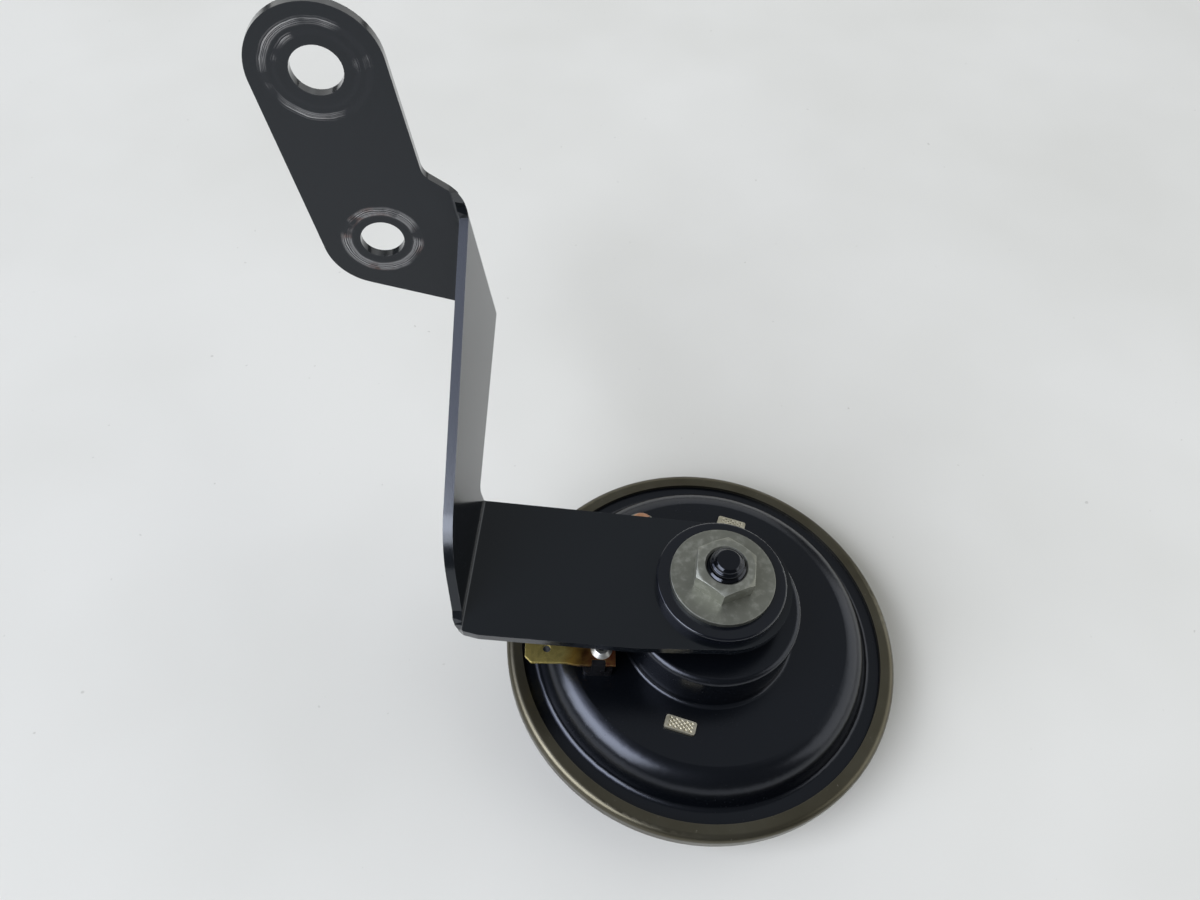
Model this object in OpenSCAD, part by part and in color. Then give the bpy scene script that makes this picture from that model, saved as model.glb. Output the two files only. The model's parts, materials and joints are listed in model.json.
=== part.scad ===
// Electric disc horn for a motorcycle, lying on its front, with its mounting bracket.
// The origin is the centre of the front face, +Z points along the horn's axis to its back,
// and the bracket's arm runs towards -X.

/* [Ring and pressings] */
// Overall diameter of the crimped ring
ring_d = 91; // [86:0.5:110]
// Width of the ring's lip that shows from behind
ring_lip = 3.5; // [3:0.1:5]
// Sheet of the ring
ring_t = 1; // [0.8:0.1:1.2]
// Rounding of the ring's outer edges
ring_edge_r = 1.6; // [1.2:0.1:2.4]
// Sheet of the housing
shell_t = 1; // [0.8:0.1:1.2]
// Diameter of the housing's drum, over its wall
drum_d = 73.2; // [70:0.2:76]
// Height of the drum's face over its flange
drum_h = 7.8; // [7:0.1:10]
// Rounding between the drum's face and its wall
drum_edge_r = 4.6; // [2:0.1:5]
// Rounding where the drum's wall meets its flange
drum_foot_r = 3.1; // [1.5:0.1:4]
// Diameter of the boss that holds the coil
boss_d = 38.4; // [36:0.2:42]
// Height of the boss over the drum's face
boss_h = 12.2; // [10:0.1:16]
// Rounding of the boss's rear edge
boss_edge_r = 1.5; // [1.1:0.1:2.5]
// Rounding at the boss's foot
boss_foot_r = 1; // [0.6:0.1:2]
// Sheet of the front cover
cover_t = 0.8; // [0.6:0.1:1.2]
// Depth of the front cover in front of the ring
cover_depth = 8; // [7.5:0.1:12]
// Diameter of the front cover's bowl
cover_d = 81; // [78:0.2:82]
// Rounding of the front cover's edge
cover_edge_r = 5; // [2:0.1:7]
// Number of sound slots in the front cover
slot_count = 16; // [8:1:20]
// Width of a sound slot
slot_w = 3.2; // [2:0.1:3.8]
// Radius where a sound slot starts
slot_in = 16; // [14:0.5:20]
// Radius where a sound slot ends
slot_out = 31; // [26:0.5:33]

/* [Diaphragm and sounder] */
// Thickness of the diaphragm
diaphragm_t = 0.4; // [0.3:0.05:0.6]
// Height of the diaphragm's pressed bead
bead_h = 0.7; // [0.3:0.1:1]
// Middle radius of the diaphragm's pressed bead
bead_at = 36; // [34:0.5:37]
// Thickness of each gasket
gasket_t = 0.6; // [0.5:0.1:1.2]
// Radial width of a gasket
gasket_w = 4; // [3:0.1:4]
// Diameter of the tone disc
tone_d = 62; // [50:1:68]
// Sheet of the tone disc
tone_t = 1.2; // [0.8:0.1:1.5]
// Depth of the tone disc's dish
tone_dish = 1.6; // [0.5:0.1:2.5]
// Diameter of the thread that carries the tone disc
stem_d = 5; // [4:0.5:6]
// Height of the thin nuts on that thread
stem_nut_h = 2.7; // [2:0.1:3]
// Width across flats of those nuts
stem_nut_af = 8; // [7:0.5:10]
// Diameter of the washer under the diaphragm's nut
clamp_d = 18; // [14:0.5:24]
// Thickness of that washer
clamp_t = 1; // [0.8:0.1:1.5]
// Thickness of the spring washer under the tone disc's nut
spring_washer_t = 1.2; // [0.8:0.1:1.5]

/* [Magnet] */
// Inward travel of the armature
stroke = 0.6; // [0.3:0.05:0.7]
// Gap left between armature and core after that travel
stop_gap = 0.3; // [0.2:0.05:0.6]
// Diameter of the armature's pole
armature_d = 14; // [12:0.5:18]
// Height of the armature's pole over its plate
armature_h = 3.3; // [3:0.1:4]
// Diameter of the armature's plate
armature_plate_d = 33; // [30:0.5:34]
// Thickness of the armature's plate
armature_plate_t = 0.8; // [0.7:0.1:1.1]
// Diameter of the armature's collar on the diaphragm
collar_d = 10; // [9:0.5:16]
// Height of that collar
collar_h = 0.8; // [0.7:0.1:1.2]
// Diameter of the magnet core
core_d = 14; // [12:0.5:17]
// Sheet of the pole bridge, and the radial size of its tabs
bridge_t = 2.8; // [2:0.1:3.2]
// Width of the pole bridge
bridge_w = 24; // [22:0.5:24.5]
// Gap between the pole bridge and the armature's pole
bridge_gap = 1.6; // [0.8:0.1:1.5]
// Width of the bridge's upturned legs
leg_w = 12; // [10:0.5:14]
// Width of the riveted tabs that show on the drum's face
tab_w = 6.7; // [5:0.1:9]
// Height of the tabs over the drum's face
tab_h = 0.9; // [0.6:0.1:1.5]
// Depth of the staking tool's pits in the tabs
pit_h = 0.35; // [0.2:0.05:0.5]
// Radius to the middle of the tab nearer the camera
tab_near = 24.8; // [23:0.1:29]
// Radius to the middle of the tab on the far side
tab_far = 27.2; // [23:0.1:29]
// Direction of the far tab, seen from the back
bridge_turn = 77.9; // [60:0.1:90]
// Wall of the coil bobbin
bobbin_t = 1; // [0.8:0.1:1.4]
// Depth left free over the winding
winding_gap = 1; // [0.5:0.1:2]
// Diameter of the insulated lead wires
lead_d = 1.4; // [1:0.1:1.6]

/* [Contact breaker] */
// Distance of the fixed contact's strip from the horn's axis
strip_at = 20.25; // [20:0.05:21]
// Width of the fixed contact's strip
strip_w = 5.9; // [5:0.1:6]
// Thickness of the stiff bar under the fixed spring
strip_t = 0.8; // [0.6:0.1:1.2]
// Thickness of the fixed contact's spring
strip_spring_t = 0.4; // [0.3:0.05:0.5]
// Thickness of the breaker spring
breaker_spring_t = 0.3; // [0.2:0.05:0.4]
// Thickness of the stiff arm on the breaker spring
breaker_arm_t = 0.6; // [0.4:0.1:0.9]
// Width of the breaker spring
breaker_w = 5; // [4:0.1:6]
// Diameter of the contact points
point_d = 3.6; // [3:0.1:4.5]
// Height of each contact point
point_h = 0.5; // [0.4:0.05:0.6]
// Length of the clamped stack, along the breaker
stack_l = 7.6; // [6:0.1:7.6]
// Width of the clamped stack
stack_w = 11; // [8:0.1:11]
// Diameter of the push pad
pad_d = 3; // [2:0.1:3.2]

/* [Adjuster] */
// Thread diameter of the adjusting screw
adjuster_d = 4; // [3.5:0.5:4]
// Travel in one turn
adjuster_pitch = 0.7; // [0.5:0.1:0.7]
// Diameter of the screw's head
adjuster_head_d = 5.4; // [5:0.1:6.5]
// Height of the screw's head
adjuster_head_h = 1.6; // [1.4:0.1:2.4]
// Place of the screw on the drum's face
adjuster_at = [-16.3, 23.2]; // [-30:0.1:30]
// Free height left under the screw's head after one more turn
adjuster_spare = 0.2; // [0.1:0.1:1]

/* [Terminals] */
// Place of the rivet of the terminal that shows
terminal_at = [-23.4, -11.4]; // [-30:0.1:30]
// Direction that the spades point in
terminal_turn = 185; // [175:0.5:195]
// Width of a spade
spade_w = 6.3; // [6:0.1:8]
// Thickness of a spade
spade_t = 0.8; // [0.6:0.1:1]
// Length from the rivet to the spade's tip
spade_l = 16.4; // [13:0.1:18]
// Distance from the rivet to the spade's hole
spade_hole_at = 11.8; // [9:0.1:13]
// Diameter of the spade's hole
spade_hole_d = 1.7; // [1.5:0.1:3]
// Width of the spade's foot
foot_w = 7.3; // [7:0.1:9]
// Length of the foot behind the rivet
foot_back = 3; // [2.6:0.1:4]
// Width of the insulator's lug that keeps the foot from turning
lug_w = 2.8; // [2:0.1:3.2]
// Depth of that lug
lug_t = 1.2; // [0.8:0.1:1.3]
// Height of the insulator's base on the drum's face
insulator_h = 2.1; // [1.5:0.1:3]
// Height of the neck between base and plate
neck_h = 2; // [1:0.1:3]
// Thickness of the brown board under each spade
board_t = 1.2; // [0.8:0.1:1.6]
// Diameter of a rivet's shank
rivet_d = 3; // [2.5:0.1:3.2]
// Diameter of a rivet's head
rivet_head_d = 4.8; // [4.4:0.1:5]
// Bore of a tubular rivet
rivet_bore_d = 1.6; // [1:0.1:2]

/* [Stud and fasteners] */
// Diameter of the mounting stud
stud_d = 8; // [6:0.5:8]
// Length of the stud over the nut
stud_over = 2.3; // [1:0.1:5]
// Chamfer at the stud's tip
stud_chamfer = 1.6; // [0.5:0.1:1.8]
// Width across flats of the mounting nut
nut_af = 12; // [12:0.5:14]
// Height of the mounting nut
nut_h = 4.5; // [4:0.1:6.5]
// Diameter of the plain washer
washer_d = 22; // [17:0.5:26]
// Thickness of the plain washer
washer_t = 1.5; // [1:0.1:2]
// Diameter of the black disc on each side of the arm
disc_d = 27.5; // [24:0.5:29]
// Thickness of the disc over the arm
upper_disc_t = 2.3; // [1:0.1:3]
// Thickness of the disc under the arm
lower_disc_t = 1.5; // [1:0.1:3]
// Width across flats of the nut that holds the core
core_nut_af = 13; // [12:0.5:14]
// Height of that nut
core_nut_h = 4; // [3:0.1:6]

/* [Bracket] */
// Sheet of the bracket
plate_t = 2; // [1.8:0.1:3]
// Distance from the stud to the upright web
arm_reach = 52.2; // [50:0.1:64]
// Radius of the arm's round end
arm_end_r = 14.8; // [14.2:0.1:18]
// How far the round end's centre lies past the stud
arm_end_over = 0.5; // [0:0.1:1]
// Arm's edge on the far side of the stud
arm_far = 14.65; // [13:0.05:17]
// Arm's edge on the near side, at the web
arm_near = 16.8; // [14.8:0.1:20]
// Arm's edge on the near side, where it turns to the round end
arm_near_end = 16.3; // [14.8:0.1:20]
// Inner radius of both bends
bend_r = 0.6; // [0.4:0.1:2]
// Lean of the web out from upright
web_lean = 9.6; // [0:0.1:15]
// Rise of the web's lower edge, in degrees
web_low_rise = 16.6; // [10:0.1:20]
// Rise of the web's upper edge, in degrees
web_top_rise = 26; // [20:0.1:30]
// Distance from the arm's middle line to the flange's face
web_l = 56.1; // [52:0.1:70]
// Height of the web at the flange
web_h = 28.8; // [26:0.1:32]
// Height over the arm of the web's lower edge at the flange
web_low = 17.6; // [14:0.1:22]
// Turn of the flange from the web
flange_turn = 100.7; // [85:0.1:105]
// Climb of the lower edge through the flange's bend
low_climb = 2; // [0:0.1:6]
// Climb of the upper edge through the flange's bend
top_climb = 6.5; // [0:0.1:10]
// Rise of the upper edge from the flange's bend to the notch, in degrees
notch_rise = 47; // [30:1:60]
// Distance between the two mounting holes
hole_pitch = 38.4; // [34:0.1:50]
// Diameter of the upper mounting hole
hole_top_d = 9.5; // [8:0.1:11]
// Diameter of the lower mounting hole
hole_low_d = 9; // [8:0.1:11]
// Distance from the bend to the lower hole
hole_out = 19.6; // [18:0.1:26]
// Height of the lower hole over the arm
hole_up = 42; // [36:0.1:44]
// Distance from the holes to the flange's edge
edge_r = 12.3; // [10:0.1:13]

/* [Clearances] */
// Radial clearance of a thread or a pin in its hole
thread_gap = 0.05; // [0.03:0.01:0.1]
// Radial clearance of a rivet or stem in the sheets it holds
rivet_gap = 0.1; // [0.05:0.01:0.15]
// Radial clearance of the bracket on its stud
swivel_gap = 0.1; // [0.03:0.01:0.1]
// Clearance between parts that are pushed against each other
touch_gap = 0.05; // [0.02:0.01:0.1]
// Clearance inside the ring and round the coil
fit_gap = 0.2; // [0.1:0.05:0.3]

/* [Hidden] */

$fn = 96;
// Overlap that keeps cuts clean
e = 0.01;

// Radii inside the ring
ring_r = ring_d / 2;
lip_r = ring_r - ring_lip;
seat_r = ring_r - ring_t - fit_gap;

// Heights of the crimped stack, from the front
z_cover = cover_depth + ring_t;
z_front_gasket = z_cover + cover_t;
z_diaphragm = z_front_gasket + gasket_t;
z_rear_gasket = z_diaphragm + diaphragm_t;
z_flange = z_rear_gasket + gasket_t;
z_flange_top = z_flange + shell_t;
z_ring_top = z_flange_top + ring_t;

// Heights of the housing
z_face = z_flange_top + drum_h;
drum_edge = min(drum_edge_r, drum_h - drum_foot_r);
z_roof = z_face - shell_t;
z_boss = z_face + boss_h;
z_boss_in = z_boss - shell_t;

// Heights of the armature and the magnet
z_collar = z_rear_gasket;
z_plate = z_collar + collar_h;
z_plate_top = z_plate + armature_plate_t;
z_pole = z_plate_top + armature_h;
z_core = z_pole + stroke + stop_gap;
bridge_over = 0.4;
z_bridge_top = z_core + bridge_over;
z_bridge = z_bridge_top - bridge_t;
z_bobbin = z_bridge_top + fit_gap;
bobbin_r = boss_d / 2 - shell_t - 3 * fit_gap;
hub_r = core_d / 2 + fit_gap;

// Heights of the stack in front of the diaphragm
z_clamp = z_diaphragm - clamp_t;
z_diaphragm_nut = z_clamp - stem_nut_h;
z_tone = z_diaphragm_nut - tone_t;
z_spring_washer = z_tone - spring_washer_t;
z_tone_nut = z_spring_washer - stem_nut_h;
stem_over = 0.3;

// The breaker's own frame: its first axis runs square to the bridge
breaker_turn = bridge_turn + 90;
pad_at = armature_plate_d / 2 - pad_d / 2 - 0.4;
breaker_tip = bridge_w / 2 + 0.8;
stack_in = strip_at + strip_w / 2 + 0.3;
stack_mid = stack_in + stack_l / 2;
stack_ear = 3.2;
z_breaker = z_plate_top + 2.5;
z_strip_top = z_breaker - 2 * point_h - touch_gap;
z_strip = z_strip_top - strip_spring_t;
z_bar = z_strip - strip_t;
clamp_plate_t = 0.8;
stack_low_t = 1;
z_stack_low = z_breaker - stack_low_t;
z_clamp_plate = z_stack_low - clamp_plate_t;

// Place of a point of the face in the breaker's frame
function in_breaker(p) = [p.x * cos(breaker_turn) + p.y * sin(breaker_turn),
    p.y * cos(breaker_turn) - p.x * sin(breaker_turn)];
anchor = in_breaker(terminal_at);
adjuster = in_breaker(adjuster_at);
hidden_terminal = [stack_mid * cos(breaker_turn), stack_mid * sin(breaker_turn)];
strip_over = 3;
spacer_r = 3.4;
bar_start = anchor.y - spacer_r - 0.3;

// Terminals, upwards from the drum's face
z_neck = z_face + insulator_h;
z_board = z_neck + neck_h;
z_spade = z_board + board_t;
z_rivet_head = z_spade + spade_t;
rivet_head_h = 1;
bush_h = 2;
bush_r = 4.5;
insulator_hole_r = 2.2;
base_back = 2.6;
base_front = 3.8;
lug_side = foot_w / 2 - lug_t;
lug_back = 0.8;
terminals = [terminal_at, hidden_terminal];

// Adjuster
bush_flange_t = 0.8;
bush_body_r = adjuster_d / 2 + 1;
adjuster_tip_h = 0.7;
z_screw_head = z_face + bush_flange_t + adjuster_pitch + adjuster_spare;
z_screw_tip = z_strip_top + touch_gap + adjuster_tip_h;

// Stud and what it carries
z_lower_disc = z_boss + core_nut_h;
z_arm = z_lower_disc + lower_disc_t;
z_arm_top = z_arm + plate_t;
z_washer = z_arm_top + upper_disc_t;
z_nut = z_washer + washer_t;
z_nut_top = z_nut + nut_h;
z_stud_tip = z_nut_top + stud_over;
z_stud = z_core + 6;

// Bracket, in the web's own plane
web_angle = 90 - web_lean;
bend_out = bend_r + plate_t;
arm_bend = bend_r * tan(web_angle / 2);
flange_bend = bend_out * tan(flange_turn / 2);
corner_at = web_l + plate_t / sin(flange_turn);
bend_near = arm_near - 0.5;
web_foot = 13.6;
web_near = 12.7;
waist = arm_bend + 1;
web_far = 14.5;
low_at_bend = web_low - flange_bend * tan(web_low_rise);
top_at_bend = web_low + web_h - flange_bend * tan(web_top_rise);
hole_low = [hole_out, hole_up];
hole_top = [hole_out, hole_up + hole_pitch];

// Direction of a vector
function unit(v) = v / norm(v);

// Points of the arc of radius r that rounds the corner p between a and b
function arc_at(a, p, b, r, n) =
    let (u = unit(a - p), v = unit(b - p), half = acos(u * v) / 2)
    let (c = p + unit(u + v) * r / sin(half))
    let (s = p + u * r / tan(half) - c, f = p + v * r / tan(half) - c)
    let (from = atan2(s.y, s.x), turn = (atan2(f.y, f.x) - from + 540) % 360 - 180)
    [for (i = [0:n]) c + r * [cos(from + turn * i / n), sin(from + turn * i / n)]];

// Outline through corners [x, y, r], each rounded by its own radius
function outline(c, n = 9) = [for (i = [0:len(c) - 1])
    let (p = [c[i].x, c[i].y], k = len(c), a = c[(i + k - 1) % k], b = c[(i + 1) % k])
    each c[i][2] == 0 ? [p] : arc_at([a.x, a.y], p, [b.x, b.y], c[i][2], n)];

// Where the line through p at angle a meets the line through q along v
function meet(p, a, q, v) =
    let (d = [cos(a), sin(a)], w = q - p)
    q + v * (d.x * w.y - d.y * w.x) / (d.y * v.x - d.x * v.y);

// Half section of a round pressing that stands on its flange, down to z = 0
module cup(r, h, edge, foot) {
    translate([0, -e]) square([r, h - edge + e]);
    translate([0, -e]) square([r - edge, h + e]);
    translate([r - edge, h - edge]) intersection() {
        circle(edge);
        square(edge + e);
    }
    difference() {
        translate([0, -e]) square([r + foot, foot + e]);
        translate([r + foot, foot]) circle(foot);
    }
}

// Ring with a rectangular section
module ring(outer, inner, h) {
    difference() {
        cylinder(r = outer, h = h);
        translate([0, 0, -e]) cylinder(r = inner, h = h + 2 * e);
    }
}

// Hexagonal nut with its top corners turned off
module hex_nut(af, h, bore_r, chamfer = 0.5) {
    corner = af / sqrt(3);
    difference() {
        intersection() {
            cylinder(r = corner, h = h, $fn = 6);
            union() {
                cylinder(r = corner + e, h = h - chamfer);
                translate([0, 0, h - chamfer - e])
                    cylinder(r1 = corner + e, r2 = af / 2 * 0.96, h = chamfer + e);
            }
        }
        translate([0, 0, -e]) cylinder(r = bore_r, h = h + 2 * e);
    }
}

// Wire along a list of points
module wire(points, d) {
    for (i = [0:len(points) - 2]) hull() {
        translate(points[i]) sphere(d = d, $fn = 16);
        translate(points[i + 1]) sphere(d = d, $fn = 16);
    }
}

// What follows is drawn in the breaker's frame
module breaker_frame() {
    rotate([0, 0, breaker_turn]) children();
}

// Block of the breaker's stack, with the rivet's hole
module stack_block(z, h, hole_r) {
    difference() {
        translate([stack_in, -stack_w / 2, z]) cube([stack_l, stack_w, h]);
        translate([stack_mid, 0, z - e]) cylinder(r = hole_r, h = h + 2 * e);
    }
}

// One child at each terminal's rivet
module each_terminal() {
    for (p = terminals) translate([p.x, p.y, 0]) rotate([0, 0, terminal_turn]) children();
}

module housing() {
    color("#15161a") difference() {
        rotate_extrude() {
            difference() {
                translate([0, z_flange_top]) {
                    cup(drum_d / 2, drum_h, drum_edge, drum_foot_r);
                    translate([0, drum_h]) cup(boss_d / 2, boss_h, boss_edge_r, boss_foot_r);
                    translate([0, -shell_t]) square([seat_r, shell_t]);
                }
                translate([0, z_flange])
                    cup(drum_d / 2 - shell_t, drum_h, drum_edge - shell_t, drum_foot_r + shell_t);
                translate([0, z_roof])
                    cup(boss_d / 2 - shell_t, boss_h, boss_edge_r - shell_t, boss_foot_r + shell_t);
            }
        }
        translate([0, 0, z_boss_in - e]) cylinder(r = stud_d / 2 + rivet_gap, h = shell_t + 1);
        bridge_tabs(z_roof - e, shell_t + 1, rivet_gap);
        for (p = terminals) translate([p.x, p.y, z_roof - e])
            cylinder(r = insulator_hole_r, h = shell_t + 1);
        translate([adjuster_at.x, adjuster_at.y, z_roof - e])
            cylinder(r = bush_body_r + thread_gap, h = shell_t + 1);
    }
}

module rim_ring() {
    h = z_ring_top - cover_depth;
    color("#6d675c") rotate_extrude() translate([0, cover_depth]) difference() {
        union() {
            translate([lip_r, 0]) square([ring_lip - ring_edge_r, h]);
            translate([lip_r, ring_edge_r]) square([ring_lip, h - 2 * ring_edge_r]);
            translate([ring_r - ring_edge_r, ring_edge_r]) circle(ring_edge_r);
            translate([ring_r - ring_edge_r, h - ring_edge_r]) circle(ring_edge_r);
        }
        translate([lip_r - e, ring_t]) square([ring_lip - ring_t + e, h - 2 * ring_t]);
    }
}

module front_cover() {
    color("#15161a") difference() {
        translate([0, 0, z_front_gasket]) mirror([0, 0, 1]) rotate_extrude() difference() {
            union() {
                translate([0, cover_t]) cup(cover_d / 2, cover_depth + ring_t, cover_edge_r, 1);
                square([seat_r, cover_t]);
            }
            cup(cover_d / 2 - cover_t, cover_depth + ring_t, cover_edge_r - cover_t, 1 + cover_t);
            translate([0, -cover_t]) square([cover_d / 2 + 1, cover_t]);
        }
        for (i = [0:slot_count - 1]) rotate([0, 0, i * 360 / slot_count])
            translate([0, 0, -e]) {
                translate([slot_in, -slot_w / 2, 0]) cube([slot_out - slot_in, slot_w, cover_t + 1]);
                translate([slot_in, 0, 0]) cylinder(d = slot_w, h = cover_t + 1);
                translate([slot_out, 0, 0]) cylinder(d = slot_w, h = cover_t + 1);
            }
    }
}

module front_gasket() {
    color("#3a3128") translate([0, 0, z_front_gasket]) ring(seat_r, seat_r - gasket_w, gasket_t);
}

module rear_gasket() {
    color("#3a3128") translate([0, 0, z_rear_gasket]) ring(seat_r, seat_r - gasket_w, gasket_t);
}

module diaphragm() {
    run = 2.4;
    color("#8d9095") rotate_extrude() translate([0, z_diaphragm]) polygon([
        [stem_d / 2 + rivet_gap, 0], [bead_at - run, 0], [bead_at - run / 3, bead_h],
        [bead_at + run / 3, bead_h], [bead_at + run, 0], [seat_r, 0], [seat_r, diaphragm_t],
        [bead_at + run, diaphragm_t], [bead_at + run / 3, bead_h + diaphragm_t],
        [bead_at - run / 3, bead_h + diaphragm_t], [bead_at - run, diaphragm_t],
        [stem_d / 2 + rivet_gap, diaphragm_t]]);
}

module tone_disc() {
    flat = 12;
    rim = 7;
    color("#9b9d9f") rotate_extrude() translate([0, z_tone]) polygon([
        [stem_d / 2 + rivet_gap, 0], [flat, 0], [tone_d / 2 - rim, -tone_dish],
        [tone_d / 2, -tone_dish], [tone_d / 2, tone_t - tone_dish],
        [tone_d / 2 - rim, tone_t - tone_dish], [flat, tone_t],
        [stem_d / 2 + rivet_gap, tone_t]]);
}

module tone_disc_nut() {
    color("#a3a59e") translate([0, 0, z_spring_washer]) mirror([0, 0, 1])
        hex_nut(stem_nut_af, stem_nut_h, stem_d / 2 + thread_gap);
}

module tone_disc_washer() {
    gap_w = 0.8;
    outer = stem_nut_af / 2 + 0.3;
    color("#7d7f7c") translate([0, 0, z_spring_washer]) difference() {
        ring(outer, stem_d / 2 + rivet_gap, spring_washer_t);
        rotate([0, 0, 20]) translate([0, -gap_w / 2, -e]) cube([outer + 1, gap_w, spring_washer_t + 1]);
    }
}

module diaphragm_nut() {
    color("#a3a59e") translate([0, 0, z_clamp]) mirror([0, 0, 1])
        hex_nut(stem_nut_af, stem_nut_h, stem_d / 2 + thread_gap);
}

module diaphragm_washer() {
    color("#a3a59e") translate([0, 0, z_clamp]) ring(clamp_d / 2, stem_d / 2 + rivet_gap, clamp_t);
}

module armature() {
    color("#77797c") {
        translate([0, 0, z_collar]) cylinder(d = collar_d, h = collar_h + e);
        translate([0, 0, z_plate]) cylinder(d = armature_plate_d, h = armature_plate_t);
        translate([0, 0, z_plate_top - e]) cylinder(d = armature_d, h = armature_h + e);
        translate([0, 0, z_tone_nut - stem_over])
            cylinder(d = stem_d, h = z_collar - z_tone_nut + stem_over + e);
    }
}

module push_pad() {
    color("#7b3f22") breaker_frame() translate([pad_at, 0, z_plate_top])
        cylinder(d = pad_d, h = z_breaker - touch_gap - z_plate_top);
}

// The two tabs of the bridge, from z upwards, grown by g all round
module bridge_tabs(z, h, g) {
    x = bridge_t / 2 + g;
    y = tab_w / 2 + g;
    r = 0.5 + g;
    rotate([0, 0, bridge_turn]) for (at = [tab_far, -tab_near]) translate([at, 0, z])
        linear_extrude(h) polygon(outline([[-x, -y, r], [x, -y, r], [x, y, r], [-x, y, r]], 4));
}

// Diamond pits that the staking tool leaves in the tabs
module staking_pits() {
    px = bridge_t * 0.15;
    py = tab_w * 0.086;
    top = z_face + tab_h;
    rotate([0, 0, bridge_turn]) for (at = [tab_far, -tab_near], j = [-4:4], i = [-2:2])
        if ((i + j) % 2 == 0) translate([at + i * px, j * py, top]) polyhedron(
            [[px * 0.85, 0, e], [0, py * 0.85, e], [-px * 0.85, 0, e], [0, -py * 0.85, e], [0, 0, -pit_h]],
            [[3, 2, 1, 0], [0, 1, 4], [1, 2, 4], [2, 3, 4], [3, 0, 4]]);
}

module pole_bridge() {
    color("#a9a697") difference() {
        union() {
            rotate([0, 0, bridge_turn]) {
                translate([-tab_near - bridge_t / 2, -leg_w / 2, z_bridge])
                    cube([tab_near + tab_far + bridge_t, leg_w, bridge_t]);
                translate([-bridge_w / 2, -bridge_w / 2, z_bridge]) cube([bridge_w, bridge_w, bridge_t]);
                for (x = [tab_far, -tab_near]) translate([x - bridge_t / 2, -leg_w / 2, z_bridge])
                    cube([bridge_t, leg_w, z_roof - z_bridge]);
            }
            bridge_tabs(z_roof - e, shell_t + tab_h + e, 0);
        }
        translate([0, 0, z_bridge - e])
            cylinder(r = armature_d / 2 + bridge_gap, h = bridge_t + 2 * e);
        staking_pits();
    }
}

module pole_core() {
    color("#77797c") translate([0, 0, z_core]) difference() {
        cylinder(d = core_d, h = z_boss_in - z_core);
        translate([0, 0, z_stud - z_core - 1])
            cylinder(r = stud_d / 2 + thread_gap, h = z_boss_in - z_stud + 2);
    }
}

module coil_bobbin() {
    h = z_boss_in - fit_gap - z_bobbin;
    color("#1d1d1f") translate([0, 0, z_bobbin]) {
        ring(hub_r + bobbin_t, hub_r, h);
        ring(bobbin_r, hub_r + bobbin_t - e, bobbin_t);
        translate([0, 0, h - bobbin_t]) ring(bobbin_r, hub_r + bobbin_t - e, bobbin_t);
    }
}

module coil_winding() {
    h = z_boss_in - fit_gap - z_bobbin - 2 * bobbin_t;
    color("#8f4a22") translate([0, 0, z_bobbin + bobbin_t])
        ring(bobbin_r - winding_gap, hub_r + bobbin_t + touch_gap, h);
}

module coil_leads() {
    r = lead_d / 2;
    z = min(z_bobbin + bobbin_t / 2, z_roof - r - fit_gap / 2);
    side = 9.2;
    out = sqrt(pow(bobbin_r + r, 2) - side * side);
    ear = stack_w / 2 + stack_ear / 2;
    color("#1b2a4a") breaker_frame() {
        wire([[out, -side, z], [stack_in - 3, -side - 1, z], [stack_mid, -ear - 0.6, z - 2],
            [stack_mid, -ear, z_stack_low + r]], lead_d);
        wire([[out, side, z], [stack_in - 3, side, z], [stack_mid, ear, z - 0.6],
            [stack_mid, ear, z_breaker + breaker_spring_t + r]], lead_d);
    }
}

module terminal_insulators() {
    side = foot_w / 2;
    color("#17171a") each_terminal() difference() {
        union() {
            translate([0, 0, z_face]) linear_extrude(insulator_h) polygon(outline([
                [-base_back, -side, 0.8], [base_front, -side, 0.8],
                [base_front, side, 0.8], [-base_back, side, 0.8]], 4));
            translate([0, 0, z_roof]) cylinder(r = insulator_hole_r - rivet_gap, h = shell_t + e);
            translate([-base_back, -lug_side, z_neck - e])
                cube([base_back + base_front, 2 * lug_side, neck_h + e]);
            translate([-lug_back, lug_side - e, z_neck - e])
                cube([lug_w, lug_t + e, z_rivet_head - touch_gap - z_neck + e]);
        }
        translate([0, 0, z_roof - e]) cylinder(r = rivet_d / 2 + rivet_gap, h = z_board - z_roof + 1);
    }
}

module terminal_boards() {
    side = lug_side - touch_gap;
    color("#5d3a24") each_terminal() difference() {
        translate([-base_back, -side, z_board]) cube([base_back + base_front + 0.6, 2 * side, board_t]);
        translate([0, 0, z_board - e]) cylinder(r = rivet_d / 2 + rivet_gap, h = board_t + 1);
    }
}

module spade_terminals() {
    cut = 1.35;
    w = spade_w / 2;
    f = foot_w / 2;
    foot = 5.1;
    run = 2.6;
    color("#a58a4c") each_terminal() difference() {
        translate([0, 0, z_spade]) linear_extrude(spade_t) polygon([[-foot_back, -f], [foot, -f],
            [foot + run, -w], [spade_l - cut, -w], [spade_l, -w + cut], [spade_l, w - cut],
            [spade_l - cut, w], [foot + run, w], [foot, f], [-foot_back, f]]);
        translate([0, 0, z_spade - e]) cylinder(r = rivet_d / 2 + rivet_gap, h = spade_t + 1);
        translate([spade_hole_at, 0, z_spade - e]) cylinder(d = spade_hole_d, h = spade_t + 1);
        translate([-lug_back - rivet_gap, lug_side - touch_gap, z_spade - e])
            cube([lug_w + 2 * rivet_gap, lug_t + 1, spade_t + 1]);
    }
}

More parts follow.
